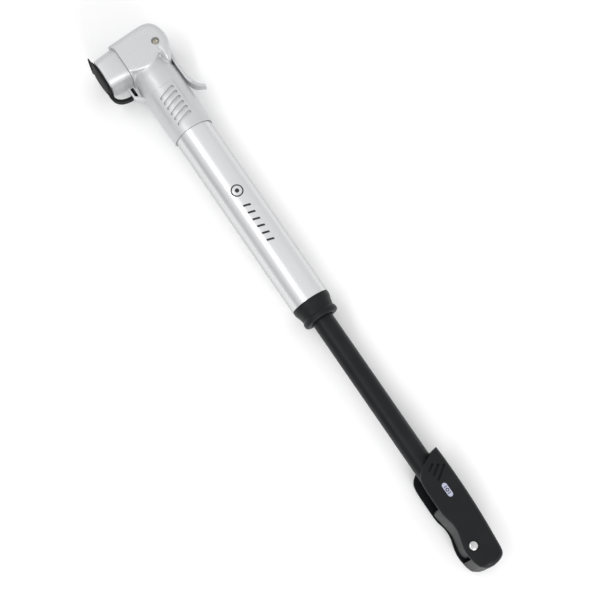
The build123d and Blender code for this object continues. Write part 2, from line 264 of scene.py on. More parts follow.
def capsule(cx, cy, length, width, degrees):
    """Outline of a slot with round ends."""
    half = (length - width) / 2
    outline = ring_arc(half, 0, width / 2, -90, 90, 10) + ring_arc(-half, 0, width / 2, 90, 270, 10)
    c, s = math.cos(math.radians(degrees)), math.sin(math.radians(degrees))
    return [(cx + x * c - y * s, cy + x * s + y * c) for x, y in outline]


def shade(piece, degrees=35):
    pick(piece)
    bpy.ops.object.shade_smooth_by_angle(angle=math.radians(degrees))


# ---------------------------------------------------------------- materials
class Finish:
    """A material whose nodes are added one at a time."""

    def __init__(self, name):
        self.material = bpy.data.materials.new(name)
        self.material.use_nodes = True
        self.tree = self.material.node_tree
        self.surface = self.tree.nodes["Principled BSDF"]
        self.place = self.add("ShaderNodeTexCoord").outputs["Object"]

    def add(self, kind, **settings):
        node = self.tree.nodes.new(kind)
        for key, value in settings.items():
            setattr(node, key, value)
        return node

    def link(self, source, target):
        self.tree.links.new(source, target)

    def stretched(self, scale):
        mapping = self.add("ShaderNodeMapping")
        mapping.inputs["Scale"].default_value = scale
        self.link(self.place, mapping.inputs["Vector"])
        return mapping.outputs["Vector"]

    def noise(self, scale, detail=4.0, place=None, roughness=0.5):
        node = self.add("ShaderNodeTexNoise")
        node.inputs["Scale"].default_value = scale
        node.inputs["Detail"].default_value = detail
        node.inputs["Roughness"].default_value = roughness
        self.link(place or self.place, node.inputs["Vector"])
        return node.outputs["Fac"]

    def cells(self, scale, feature="F1", output="Distance"):
        node = self.add("ShaderNodeTexVoronoi", feature=feature)
        node.inputs["Scale"].default_value = scale
        self.link(self.place, node.inputs["Vector"])
        return node.outputs[output]

    def spread(self, value, low, high, to_low, to_high):
        node = self.add("ShaderNodeMapRange")
        for key, number in zip(("From Min", "From Max", "To Min", "To Max"), (low, high, to_low, to_high)):
            node.inputs[key].default_value = number
        self.link(value, node.inputs["Value"])
        return node.outputs["Result"]

    def between(self, factor, first, second):
        node = self.add("ShaderNodeMix", data_type="RGBA")
        self.link(factor, node.inputs[0])
        for socket, colour in ((node.inputs[6], first), (node.inputs[7], second)):
            if isinstance(colour, tuple):
                socket.default_value = (*colour, 1.0)
            else:
                self.link(colour, socket)
        return node.outputs[2]

    def bump(self, height, distance, strength=1.0, under=None):
        node = self.add("ShaderNodeBump")
        node.inputs["Distance"].default_value = distance * MM
        node.inputs["Strength"].default_value = strength
        self.link(height, node.inputs["Height"])
        if under is not None:
            self.link(under, node.inputs["Normal"])
        return node.outputs["Normal"]

    def paint(self, colour, roughness, normal, metallic=0.0, coat=0.0, specular=0.5, edge_tint=1.0):
        self.link(colour, self.surface.inputs["Base Color"])
        self.link(roughness, self.surface.inputs["Roughness"])
        self.link(normal, self.surface.inputs["Normal"])
        self.surface.inputs["Metallic"].default_value = metallic
        self.surface.inputs["Coat Weight"].default_value = coat
        self.surface.inputs["Coat Roughness"].default_value = 0.25
        self.surface.inputs["Specular IOR Level"].default_value = specular
        self.surface.inputs["Specular Tint"].default_value = (edge_tint, edge_tint, edge_tint, 1.0)
        return self.material


def silver_paint():
    """Silver lacquer over plastic: fine metal flakes, slight orange peel, a few duller patches."""
    f = Finish("silver_lacquer")
    flakes = f.spread(f.cells(5200, output="Color"), 0.0, 1.0, 0.0, 1.0)
    cloud = f.spread(f.noise(70, 5), 0.35, 0.7, 0.0, 1.0)
    base = f.between(flakes, (0.525, 0.535, 0.54), (0.64, 0.65, 0.655))
    colour = f.between(f.spread(cloud, 0.0, 1.0, 0.0, 0.35), base, (0.57, 0.57, 0.58))
    roughness = f.spread(f.noise(240, 6), 0.3, 0.7, 0.40, 0.50)
    peel = f.bump(f.noise(900, 3), 0.012)
    return f.paint(colour, roughness, f.bump(f.noise(5200, 2), 0.004, 1.0, peel), metallic=0.55, coat=0.06)


def drawn_aluminium():
    """Drawn and clear-coated aluminium: fine lines along the tube, faint handling marks."""
    f = Finish("drawn_aluminium")
    lines = f.noise(1.0, 3, f.stretched((8, 700, 700)))
    broad = f.noise(1.0, 3, f.stretched((9, 420, 420)))
    cloud = f.spread(f.noise(42, 6), 0.3, 0.7, 0.0, 1.0)
    base = f.between(f.spread(lines, 0.3, 0.7, 0.0, 1.0), (0.71, 0.715, 0.715), (0.735, 0.74, 0.74))
    colour = f.between(f.spread(cloud, 0.0, 1.0, 0.0, 0.3), base, (0.69, 0.69, 0.695))
    roughness = f.spread(broad, 0.3, 0.7, 0.25, 0.33)
    marks = f.bump(f.spread(f.noise(160, 8, roughness=0.7), 0.5, 0.8, 0.0, 1.0), 0.002)
    return f.paint(colour, roughness, f.bump(lines, 0.0003, 1.0, marks), metallic=0.85, coat=0.03,
                   edge_tint=0.6)


def moulded_plastic(name, dark, light, rough, grain=0.012):
    """Moulded plastic with a spark-eroded grain, dust in the low places and rubbed patches."""
    f = Finish(name)
    pores = f.spread(f.cells(2400), 0.0, 0.8, 0.0, 1.0)
    cloud = f.spread(f.noise(90, 6), 0.35, 0.75, 0.0, 1.0)
    rub = f.spread(f.noise(30, 8, roughness=0.65), 0.45, 0.7, 0.0, 1.0)
    colour = f.between(f.spread(cloud, 0.0, 1.0, 0.0, 0.8), dark, light)
    roughness = f.spread(rub, 0.0, 1.0, rough + 0.06, rough - 0.07)
    fine = f.bump(pores, grain)
    return f.paint(colour, roughness, f.bump(f.noise(700, 5), 0.008, 1.0, fine), specular=0.24)


def moulded_rubber(name, dark, light):
    """Matt rubber with a faint bloom and a fine uneven skin."""
    f = Finish(name)
    bloom = f.spread(f.noise(130, 8, roughness=0.65), 0.45, 0.75, 0.0, 1.0)
    colour = f.between(bloom, dark, light)
    roughness = f.spread(f.noise(400, 4), 0.3, 0.7, 0.55, 0.75)
    skin = f.bump(f.noise(1500, 6), 0.02)
    return f.paint(colour, roughness, f.bump(f.cells(900), 0.008, 1.0, skin), specular=0.2)


def plain_metal(name, dark, light, rough):
    """Turned metal with fine scratches and stained patches."""
    f = Finish(name)
    stain = f.spread(f.noise(260, 8, roughness=0.65), 0.35, 0.7, 0.0, 1.0)
    scratches = f.noise(1.0, 5, f.stretched((5200, 380, 5200)))
    colour = f.between(stain, dark, light)
    roughness = f.spread(f.noise(700, 6), 0.3, 0.7, rough - 0.06, rough + 0.1)
    return f.paint(colour, roughness, f.bump(scratches, 0.006), metallic=1.0)


def printed_ink(name, dark, light):
    """Pad-printed ink, slightly broken at its edges and glossier than its ground."""
    f = Finish(name)
    speckle = f.spread(f.noise(2600, 6, roughness=0.7), 0.55, 0.75, 0.0, 1.0)
    colour = f.between(speckle, dark, light)
    roughness = f.spread(f.noise(900, 3), 0.3, 0.7, 0.32, 0.5)
    return f.paint(colour, roughness, f.bump(f.noise(1800, 4), 0.006))


SILVER = silver_paint()
ALUMINIUM = drawn_aluminium()
BLACK = moulded_plastic("satin_black_plastic", (0.0040, 0.0045, 0.0052), (0.0075, 0.0082, 0.0092), 0.42)
GREY_BLACK = moulded_plastic("dark_grey_plastic", (0.026, 0.029, 0.028), (0.042, 0.046, 0.045), 0.5)
ROD_BLACK = moulded_plastic("black_rod_coat", (0.0036, 0.0042, 0.005), (0.007, 0.0078, 0.009), 0.38, 0.006)
WHITE = moulded_plastic("natural_acetal", (0.66, 0.65, 0.61), (0.76, 0.75, 0.72), 0.4)
RUBBER = moulded_rubber("black_rubber", (0.0055, 0.0055, 0.006), (0.012, 0.012, 0.0125))
STEEL = plain_metal("zinc_steel", (0.55, 0.55, 0.54), (0.74, 0.74, 0.72), 0.24)
PIN_STEEL = plain_metal("worn_pin_steel", (0.30, 0.28, 0.23), (0.50, 0.47, 0.40), 0.34)
BRASS = plain_metal("turned_brass", (0.60, 0.44, 0.18), (0.78, 0.62, 0.30), 0.28)
INK = printed_ink("black_ink", (0.008, 0.008, 0.010), (0.05, 0.05, 0.055))
LABEL = printed_ink("pale_label_ink", (0.40, 0.42, 0.53), (0.48, 0.50, 0.60))

SLOT_FINISH = {"silver_paint": SILVER, "aluminium": ALUMINIUM, "black_plastic": BLACK, "steel": STEEL,
               "grey_black_plastic": GREY_BLACK, "rubber": RUBBER, "white_plastic": WHITE, "brass": BRASS}


def dress(piece, finish):
    piece.data.materials.clear()
    piece.data.materials.append(finish)


for node_name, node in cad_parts.items():
    slot_name = node.data.materials[0].name
    finish = ROD_BLACK if node_name == "rod_tube" else SLOT_FINISH[slot_name]
    for index in range(len(node.material_slots)):
        node.material_slots[index].material = finish


def hand_over(piece, body, slot, finish, *nodes):
    """Finishes a new piece: its material, its body and the CAD nodes it stands for."""
    dress(piece, finish)
    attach(piece, body)
    if nodes:
        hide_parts(*nodes)


# ---------------------------------------------------------------- sizes read from the frame
def corners(node_name):
    """Lowest and highest corner of a node, in millimetres."""
    low_corner, high_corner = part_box(node_name)
    return low_corner / MM, high_corner / MM


head_high = corners("head_body")[1]
cap_low, cap_high = corners("nozzle_cap")
pin_low, pin_high = corners("lever_pin")
tube_high = corners("barrel_tube")[1]
collar_low, collar_high = corners("barrel_collar")
rod_high = corners("rod_tube")[1]
rivet_low, rivet_high = corners("fold_rivet")

nozzle_x = (cap_low.x + cap_high.x) / 2
head_half = head_high.z
face_y = -11.3             # the nozzle cap meets the head here
slot_half = 4.6            # half width of the lever's slot
lever_half = 4.3
pin_x = (pin_low.x + pin_high.x) / 2
pin_y = (pin_low.y + pin_high.y) / 2
pin_r = (pin_high.x - pin_low.x) / 2
barrel_r = tube_high.z
sleeve_r = 12.3
slot_count = 6             # grip slots on the sleeve
roll = math.radians(8)     # the handle is stored rolled a little about the rod
fold_x = (rivet_low.x + rivet_high.x) / 2
fold_y = -5.1
handle_half = 10.5
channel_half = 8.5
knuckle_half = 8.2


# ---------------------------------------------------------------- head
def make_head():
    """One moulding: domed block, cheeks beside the lever and grip sleeve, blended into each other."""
    outline = [(-64.2, -14.4)] + flowing([
        (-64.9, 3.5), (-64.8, 8.6), (-63.6, 12.4), (-60.9, 15.0), (-57.2, 16.4), (-53.0, 16.9), (-48.9, 16.2),
        (-46.2, 14.2), (-45.6, 11.4), (-45.6, 8.6), (-44.2, 6.2), (-42.5, 3.3), (-41.7, -0.4), (-42.1, -4.6),
        (-43.2, -8.2), (-44.6, -11.4), (-45.0, -14.4)])
    head = prism("head_shell", outline, -head_half, head_half)
    bevel_edges(head, 3.6, 8, lambda a, b: abs(a.z - b.z) < 0.1 and max(a.y, b.y) > -14.3
                and (min(a.x, b.x) < -48 or min(a.y, b.y) > 8.5))
    bevel_edges(head, 1.7, 5, lambda a, b: abs(a.z - b.z) < 0.1 and abs(a.z) > head_half - 0.1
                and min(a.x, b.x) > -46 and -14.3 < max(a.y, b.y) and min(a.y, b.y) < 8.4)
    sleeve = lathe("sleeve", [(-50, 0), (-50, sleeve_r - 1.2), (-44, sleeve_r - 0.9), (-38, sleeve_r - 0.2),
                              (-30, sleeve_r), (-22, sleeve_r + 0.05), (-12, sleeve_r - 0.05), (-1.2, 11.85),
                              (1.5, 11.8), (1.5, 0)], at(0, 0), ALONG_X)
    flare = prism("flare", [(-52, -14.4), (-52, -5), (-44.2, -6.0), (-43.6, -8.6), (-42.2, -11.3),
                            (-42.0, -14.4)], -12.1, 12.1)
    bevel_edges(flare, 5.2, 6, lambda a, b: abs(a.z - b.z) < 0.1 and min(a.x, b.x) > -50)
    # the cheeks beside the lever are round all over
    cheeks = pillow("cheeks", flowing([(-54, 8.6), (-47.5, 8.2), (-44.6, 8.0), (-41.6, 8.8), (-40.0, 9.6),
                                       (-39.7, 10.6), (-40.9, 12.3), (-43.6, 14.2), (-47.5, 15.5),
                                       (-54, 15.6)]), 13.15, 6.2, 0.3, at(-50.5, 11.6))
    join(head, [sleeve, flare, cheeks])
    soften(head, 0.4, 2)

    # the nozzle side runs into the sleeve in a long hollow
    def hollow(place):
        near_x = 1 - abs(place.x + 41.5) / 6.5
        near_y = 1 - abs(place.y + 10.0) / 6.0
        return 2.0 * near_x * near_y if near_x > 0 and near_y > 0 else 0.0

    ease(head, hollow, 30)

    # eyelet for the strap of the dust cap
    lip = prism("lip", [(-40.4, -15.4), (-35.0, -15.4), (-31.4, -11.2), (-28.9, -11.2), (-33.9, -16.6),
                        (-40.4, -16.6)], -3, 3)
    bevel_edges(lip, 0.35, 3, lambda a, b: True)
    window = prism("window", capsule(-36.4, 0, 4.6, 2.6, 90), -18, -14.6)
    window.rotation_euler = Euler((math.radians(90), 0, 0))
    window.location = at(0, 0, 0)
    settle(window)
    front_cut = prism("front_cut", flowing([(-72, face_y - 2.1), (-65.0, face_y - 1.9), (-63.0, face_y - 1.3),
                                            (-61.0, face_y - 0.5), (-58.6, face_y), (-40, face_y)], 4)
                      + [(-20, -14.5), (-20, -40), (-72, -40)], -20, 20)
    combine(head, [front_cut, block(0, 10, -20, 20, -20, 20)], "DIFFERENCE")
    combine(lip, [window], "DIFFERENCE")
    combine(head, [lip], "UNION")

    # bores: cap thread, gland chamber and stem along the nozzle, then barrel socket, valve seat and air way
    bore = [drill(radius, at(nozzle_x, face_y - 2), at(nozzle_x, top)) for radius, top in
            ((9.5, -6.8), (7.6, 1.2), (2.95, 5.0))]
    socket = lathe("socket", [(5, 0), (5, barrel_r + 0.35), (0, barrel_r + 0.35), (-0.7, barrel_r + 0.02),
                              (-31.2, barrel_r + 0.02), (-31.2, 9.0), (-34.2, 9.0), (-34.2, 3.2),
                              (-38.2, 3.2), (-38.2, 1.1), (nozzle_x + 5, 1.1), (nozzle_x + 5, 0)],
                   at(0, 0), ALONG_X, 96)
    # lever slot with a round pocket for the hub
    pocket = pin_x - 7.0
    slot_cut = prism("slot", ring_arc(pin_x, pin_y, 7.0, 180, 360, 24)
                     + [(pin_x + 7.0, sleeve_r), (-35.4, sleeve_r), (-35.4, 22), (pocket, 22)],
                     -slot_half, slot_half)
    pin_bore = drill(pin_r, at(pin_x, pin_y, -20), at(pin_x, pin_y, 20), 48)
    recess = [drill(2.3, at(pin_x, pin_y, side * 11.2), at(pin_x, pin_y, side * 20), 48) for side in (-1, 1)]
    combine(head, bore + [socket, slot_cut, pin_bore] + recess, "DIFFERENCE")

    # shallow panel round the slanted grip slots
    floor = lathe("floor", [(-30, 0), (-30, sleeve_r - 0.18), (-2, sleeve_r - 0.18), (-2, 0)],
                  at(0, 0), ALONG_X)
    panel = prism("panel", [(-28.4, -8.2), (-3.6, -8.2), (-3.6, 5.9), (-28.4, 5.9)], 5, 14)
    bevel_edges(panel, 1.6, 5, lambda a, b: abs(a.z - b.z) > 1)
    combine(panel, [floor], "DIFFERENCE")
    combine(head, [panel], "DIFFERENCE")
    for number in range(slot_count):
        groove = prism("groove", capsule(-23.9 + 3.45 * number, -0.8, 10.4, 1.9, 107), 5, 15)
        base = lathe("base", [(-30, 0), (-30, 11.12), (-2, 11.12), (-2, 0)], at(0, 0), ALONG_X)
        combine(groove, [base], "DIFFERENCE")
        combine(head, [groove], "DIFFERENCE")
    shade(head, 38)
    hand_over(head, "barrel", "silver_paint", SILVER, "head_body")


def block(x0, x1, y0, y1, z0, z1):
    """A plain box cutter."""
    bpy.ops.object.select_all(action="DESELECT")
    bpy.ops.mesh.primitive_cube_add(size=MM, location=at((x0 + x1) / 2, (y0 + y1) / 2, (z0 + z1) / 2),
                                    scale=(x1 - x0, y1 - y0, z1 - z0))
    return settle(bpy.context.object)


def make_nozzle_cap():
    """Threaded cap with rounded corners and a small engraved arrow-and-bar mark."""
    half_w, half_h, corner = (cap_high.x - cap_low.x) / 2, cap_high.z, 6.0
    front = cap_low.y
    section = []
    for cx, cz, start in ((1, 1, 0), (-1, 1, 90), (-1, -1, 180), (1, -1, 270)):
        section += ring_arc(cx * (half_w - corner), cz * (half_h - corner), corner, start, start + 90, 12)
    cap = prism("nozzle_cap_shell", section, 0, face_y - front)
    cap.rotation_euler = Euler((math.radians(90), 0, 0))
    cap.location = at(nozzle_x, face_y)
    settle(cap)
    edit(cap)
    bpy.ops.mesh.select_all(action="DESELECT")
    done()
    for vertex in cap.data.vertices:
        vertex.select = vertex.co.y < (front + 0.1) * MM
    pick(cap)
    bpy.ops.object.mode_set(mode="EDIT")
    bpy.ops.transform.resize(value=(0.89, 1, 0.985), center_override=at(nozzle_x, front))
    done()
    bevel_edges(cap, 1.1, 5, lambda a, b: max(a.y, b.y) < front + 0.1)
    bevel_edges(cap, 0.4, 3, lambda a, b: min(a.y, b.y) > face_y - 0.01)
    thread_profile = [(face_y - 1, 0), (face_y - 1, 9.35)]
    turns = [(face_y + 0.5 + 0.9 * step, 9.05 if step % 2 else 9.4) for step in range(5)]
    thread = lathe("thread", thread_profile + turns + [(-7.0, 9.0), (-7.0, 0)], at(nozzle_x, 0), ALONG_Y)
    combine(cap, [thread], "UNION")
    hollow = drill(7.6, at(nozzle_x, front + 2), at(nozzle_x, -6), FINE)
    mouth = drill(4.7, at(nozzle_x, front - 2), at(nozzle_x, front + 3), 96)
    rim = lathe("rim", [(-0.9, 0), (-0.9, 6.1), (0.4, 4.7), (0.4, 0)], at(nozzle_x, front), ALONG_Y)
    # engraved mark: an open box and a bar on the wide top
    marks = [prism("mark", [(x0, y0), (x1, y0), (x1, y1), (x0, y1)], half_h - 0.14, half_h + 1)
             for x0, x1, y0, y1 in ((-61.2, -58.4, -19.4, -19.05), (-61.2, -58.4, -16.3, -15.95),
                                    (-61.2, -60.85, -19.2, -16.1), (-59.6, -56.4, -17.85, -17.5))]
    combine(cap, [hollow, mouth, rim] + marks, "DIFFERENCE")
    shade(cap, 32)
    hand_over(cap, "barrel", "silver_paint", SILVER, "nozzle_cap")


def make_pin():
    """Lever pin with a peened, dimpled head sunk in each side of the head."""
    top = 11.9
    profile = [(-top, 0), (-top + 0.25, 0.7), (-top + 0.05, 1.0), (-top, 1.35), (-top + 0.25, 1.95),
               (-11.25, 2.0), (-11.2, pin_r), (11.2, pin_r), (11.25, 2.0), (top - 0.25, 1.95), (top, 1.35),
               (top - 0.05, 1.0),
               (top - 0.25, 0.7), (top, 0)]
    profile[0] = (-top + 0.32, 0)
    profile[-1] = (top - 0.32, 0)
    pin = lathe("lever_pin_turned", profile, at(pin_x, pin_y), ALONG_Z, 64)
    shade(pin, 50)
    hand_over(pin, "barrel", "steel", PIN_STEEL, "lever_pin")


def make_lever():
    """Silver thumb lever: cam hub, blade along the sleeve and a curled tip."""
    cam_low_r, cam_lift = 5.0, 1.6
    cam_slope = cam_lift / (math.pi / 2)
    cam = []
    for step in range(13):
        turn = math.radians(7.5 * step)
        reach = cam_low_r + cam_slope * turn
        cam.append((pin_x - reach * math.sin(turn) - cam_slope * math.cos(turn),
                    pin_y - reach * math.cos(turn) + cam_slope * math.sin(turn)))
    crown = flowing([(pin_x - 6.6, pin_y + 1.0), (pin_x - 4.5, pin_y + 4.8), (pin_x, pin_y + 6.5)], 6)
    outer = flowing([(pin_x, pin_y + 6.5), (-47, 15.5), (-43, 14.8), (-38, 14.3), (-33, 14.3), (-28.5, 14.9),
                     (-25, 15.9), (-22, 17.6), (-20.0, 20.2)], 5)
    tip = [(-19.7, 20.45), (-19.2, 20.58), (-18.6, 20.45), (-18.2, 20.05)]
    inner = flowing([(-18.4, 19.6), (-20.6, 16.5), (-23, 14.5), (-26.5, 13.2), (-31, 12.8), (-46, 12.75)], 5)
    hub = [(pin_x + 3.2, 12.7), (pin_x + 3.2, pin_y), (pin_x + 3.0, pin_y - 3.4), (pin_x + 1.6, pin_y - 4.72)]
    outline = cam[:-1] + crown + outer[1:] + tip + inner + hub
    lever = prism("thumb_lever_blade", outline, -lever_half, lever_half)
    # the tip narrows to a rounded end
    edit(lever)
    bpy.ops.mesh.select_all(action="DESELECT")
    done()
    for vertex in lever.data.vertices:
        vertex.select = vertex.co.y > 19.5 * MM
    pick(lever)
    bpy.ops.object.mode_set(mode="EDIT")
    bpy.ops.transform.resize(value=(1, 1, 0.6), center_override=at(-19, 20), use_proportional_edit=True,
                             proportional_edit_falloff="SPHERE", proportional_size=4 * MM)
    done()
    soften(lever, 0.22, 8)
    combine(lever, [drill(pin_r + 0.05, at(pin_x, pin_y, -6), at(pin_x, pin_y, 6), 48)], "DIFFERENCE")
    shade(lever, 35)
    hand_over(lever, "lever", "silver_paint", SILVER, "thumb_lever")


def make_dust_cap():
    """Rubber dust cap, pull tab, strap and toggle in one soft piece."""
    face = cap_low.y - 0.3
    lens = lathe("rubber_cap", [(1.9, 0), (2.0, 3.3), (1.7, 3.6), (0, 3.6), (0, 11.3), (-0.3, 11.65),
                                (-0.8, 11.6), (-1.3, 10.8), (-1.8, 8.8), (-2.3, 6.0), (-2.6, 3.0),
                                (-2.7, 0)], at(nozzle_x, face), ALONG_Y, 96)
    tab_back = flowing([(-63.0, -face + 0.1), (-66.2, -face + 0.2), (-68.0, -face + 0.3)], 4)
    tab_front = flowing([(-68.1, -face + 0.8), (-66.6, -face + 1.3), (-64.0, -face + 2.0),
                         (-60.5, -face + 2.7)], 4)
    tab = prism("tab", tab_back + tab_front, -3.0, 3.0)
    tab.scale = (1, -1, 1)
    settle(tab)
    middle = flowing([(-46.0, face - 1.3), (-42.5, face - 1.35), (-39.4, -25.1), (-37.2, -23.0),
                      (-36.0, -19.8), (-35.7, -17.0), (-36.2, -15.4), (-37.6, -14.5)], 5)
    strap_half = 0.9
    left, right = [], []
    for index, (x, y) in enumerate(middle):
        ahead = middle[min(index + 1, len(middle) - 1)]
        behind = middle[max(index - 1, 0)]
        way = Vector((ahead[0] - behind[0], ahead[1] - behind[1])).normalized()
        left.append((x - way.y * strap_half, y + way.x * strap_half))
        right.append((x + way.y * strap_half, y - way.x * strap_half))
    strap = prism("strap", left + right[::-1], -1.9, 1.9)
    toggle = drill(1.05, at(-40.6, -14.35), at(-35.2, -14.35), 32)
    combine(lens, [tab, strap, toggle], "UNION")
    edit(lens)
    bpy.ops.mesh.normals_make_consistent(inside=False)
    done()
    soften(lens, 0.3, 4)
    shade(lens, 60)
    dress(lens, RUBBER)
    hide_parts("dust_cap", "dust_cap_strap")
    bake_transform(lens)


# ---------------------------------------------------------------- inner pieces that are squeezed
def make_grommet():
    """Rubber grommet, ribbed inside, that the plunger squeezes round the tyre valve."""
    low, high = corners("valve_gland")
    length, outside = high.y - low.y, high.z
    ribs = []
    for rib in range(4):
        start = 1.0 + rib * (length - 2.6) / 3.4
        ribs += [(start, 4.5), (start + 0.5, 4.2), (start + 1.1, 4.2), (start + 1.6, 4.5)]
    grommet = lathe("ribbed_grommet", ribs + [(length, 4.7), (length, outside - 0.3), (length - 0.3, outside),
                                              (0.3, outside), (0, outside - 0.3), (0, 4.7), ribs[0]],
                    at(nozzle_x, low.y), ALONG_Y, 96)
    shade(grommet, 30)
    hand_over(grommet, "barrel", "rubber", RUBBER, "valve_gland")
    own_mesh(grommet)


def make_valve_spring():
    """Small coil spring that holds the check valve shut."""
    low, high = corners("check_spring")
    wire = 0.2
    coil_r, turns, steps = high.z - wire, 2.1, 64
    points = []
    for step in range(steps + 1):
        turn = FULL_TURN * turns * step / steps
        x = low.x + wire + (high.x - low.x - 2 * wire) * step / steps
        points.append(at(x, coil_r * math.cos(turn), coil_r * math.sin(turn)))
    spring = trace("valve_spring", points, False)
    pick(spring)
    bpy.ops.object.convert(target="CURVE")
    spring = bpy.context.object
    spring.data.bevel_depth = wire * MM
    spring.data.bevel_resolution = 3
    spring.data.use_fill_caps = True
    bpy.ops.object.convert(target="MESH")
    spring = settle(bpy.context.object)
    shade(spring, 50)
    hand_over(spring, "barrel", "steel", STEEL, "check_spring")
    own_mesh(spring)


# ---------------------------------------------------------------- barrel print and collar
def make_barrel_mark():
    """A plain ring and a row of slanted bars printed along the barrel."""
    ring_x, ring_y = 43.2, 0.2
    bar_count, bar_gap = 6, 4.5
    mark = prism("barrel_mark", ring_arc(ring_x, ring_y, 3.5, 0, 354, 59), 8, 12)
    ring_inner = prism("ring_inner", ring_arc(ring_x, ring_y, 2.75, 0, 354, 59), 7, 13)
    combine(mark, [ring_inner], "DIFFERENCE")
    shapes = [prism("dot", ring_arc(ring_x, ring_y, 1.2, 0, 345, 23), 8, 12)]
    for number in range(bar_count):
        start = 51.6 + bar_gap * number
        bar = [(start, -1.8), (start + 1.2, -1.8), (start + 2.4, 2.2), (start + 1.2, 2.2)]
        shapes.append(prism("bar", bar, 8, 12))
    combine(mark, shapes, "UNION")
    skin = lathe("skin", [(30, barrel_r - 0.02), (30, barrel_r + 0.025), (90, barrel_r + 0.025),
                          (90, barrel_r - 0.02), (30, barrel_r - 0.02)], at(0, 0), ALONG_X, 256)
    combine(mark, [skin], "INTERSECT")
    shade(mark, 30)
    hand_over(mark, "barrel", "black_plastic", INK)


def make_collar():
    """Black end collar: rolled ring, waist and lip round the rod."""
    end = collar_high.x
    start = tube_high.x
    inner = barrel_r - 1.22
    outside = [(start, 10.5), (start + 0.25, 10.8), (start + 0.7, 10.9), (start + 2.1, 10.85),
               (start + 2.8, 10.65), (start + 4.2, 10.15), (start + 5.6, 9.75), (start + 6.9, 9.5),
               (start + 7.7, 9.45), (start + 8.3, 9.75), (end - 2.5, 9.98), (end - 1.6, 10.05),
               (end - 0.8, 9.95), (end - 0.25, 9.6), (end, 9.1)]
    profile = [(collar_low.x, 7.6), (collar_low.x, inner), (start, inner)] + flowing(outside, 3) + [
        (end, 6.9), (end - 0.3, 6.5), (124.0, 6.5), (124.0, 7.6), (collar_low.x, 7.6)]
    collar = lathe("end_collar", profile, at(0, 0), ALONG_X)
    shade(collar, 30)
    hand_over(collar, "barrel", "black_plastic", BLACK, "barrel_collar")


# ---------------------------------------------------------------- handle, drawn flat and rolled into place
def roll_handle(piece):
    """Turns a piece of the handle, drawn flat, to the roll it is stored at."""
    piece.rotation_euler = Euler((-roll, 0, 0))
    return settle(piece)


def make_knuckle():
    """Rod end that the handle folds on, with a thumb hollow along its free side."""
    nose = fold_x + 4.5
    free_side = flowing([(243.5, -8.5), (249, -7.5), (255, -6.9), (260, -7.8), (fold_x, -8.7),
                         (nose - 1.2, -7.8), (nose, fold_y)], 6)
    outline = [(nose, 2.5), (262, 5.9), (256, 6.8), (241.6, 6.8), (240.6, 5.8), (240.6, -7.6), (241.6, -8.5)]
    knuckle = prism("knuckle_moulding", outline + free_side, -knuckle_half, knuckle_half)
    bevel_edges(knuckle, 1.3, 5, lambda a, b: abs(a.z - b.z) < 0.1 and max(a.y, b.y) < -4)
    cutters = [drill(6.02, at(230, 0), at(rod_high.x, 0), 96),
               drill(1.5, at(249, 0, -12), at(249, 0, 12), 32),
               drill(2.05, at(fold_x, fold_y, -12), at(fold_x, fold_y, 12), 48),
               drill(1.6, at(fold_x - 1, 0.6, 3.2), at(fold_x - 1, 0.6, 12), 48)]
    for piece in (knuckle, *cutters[1:]):
        roll_handle(piece)
    combine(knuckle, cutters, "DIFFERENCE")
    shade(knuckle, 35)
    hand_over(knuckle, "rod", "grey_black_plastic", GREY_BLACK, "rod_knuckle")


def make_handle():
    """Folding handle: a rounded channel with a crowned top, a slanted mouth and grip grooves."""
    back = flowing([(213.5, 9.2), (221, 9.5), (230, 9.6), (240, 9.5), (248, 9.2), (258, 8.6), (267, 7.8),
                    (273.4, 7.2)])
    end = flowing([(275.6, 6.7), (277.3, 5.5), (278.4, 3.4), (279.0, 0.8), (279.1, -2.4), (278.2, -5.6)], 4)
    rim = flowing([(275.9, -8.3), (272.8, -9.4), (269.6, -9.9), (fold_x, -10.1), (260.8, -9.2), (257.0, -8.0),
                   (253.5, -7.4), (249.5, -7.7), (246.3, -8.5), (243.0, -8.9), (238, -8.95), (230, -8.9),
                   (226.4, -8.7)])
    throat = flowing([(223.6, -8.2), (221.4, -6.9), (219.6, -4.7), (217.6, -1.6), (216.2, 1.2),
                      (215.1, 4.4)], 4)
    shell = prism("handle_moulding", back + end + rim + throat, -handle_half, handle_half)
    bevel_edges(shell, 3.0, 8, lambda a, b: abs(a.z - b.z) < 0.1 and (min(a.y, b.y) > 7.1 or (
        min(a.x, b.x) > 273 and min(a.y, b.y) > -8)))
    soften(shell, 0.45, 6)
    # the two broad sides are slightly crowned
    for vertex in shell.data.vertices:
        away = (vertex.co.y / MM - 0.5) / 9.5
        vertex.co.z *= 1 - 0.045 * min(away * away, 1.2)
    channel = prism("channel", [(205, -20), (270.3, -20), (270.3, 6.0), (257, 7.2), (205, 7.2)],
                    -channel_half, channel_half)
    rivet_bore = drill(2.02, at(fold_x, fold_y, -15), at(fold_x, fold_y, 15), 48)
    sinks = [drill(3.0, at(fold_x, fold_y, side * 10.05), at(fold_x, fold_y, side * 15), 64)
             for side in (-1, 1)]
    cutters = [channel, rivet_bore] + sinks
    for number in range(3):
        outline = capsule(221.1 + 2.4 * number, -0.3 + 1.6 * number, 4.8 + 2.3 * number, 1.2,
                          120 + 2 * number)
        cutters.append(prism("groove", outline, 9.4, 14))
    combine(shell, cutters, "DIFFERENCE")
    shade(shell, 40)
    roll_handle(shell)
    hand_over(shell, "handle", "black_plastic", BLACK, "handle_shell")


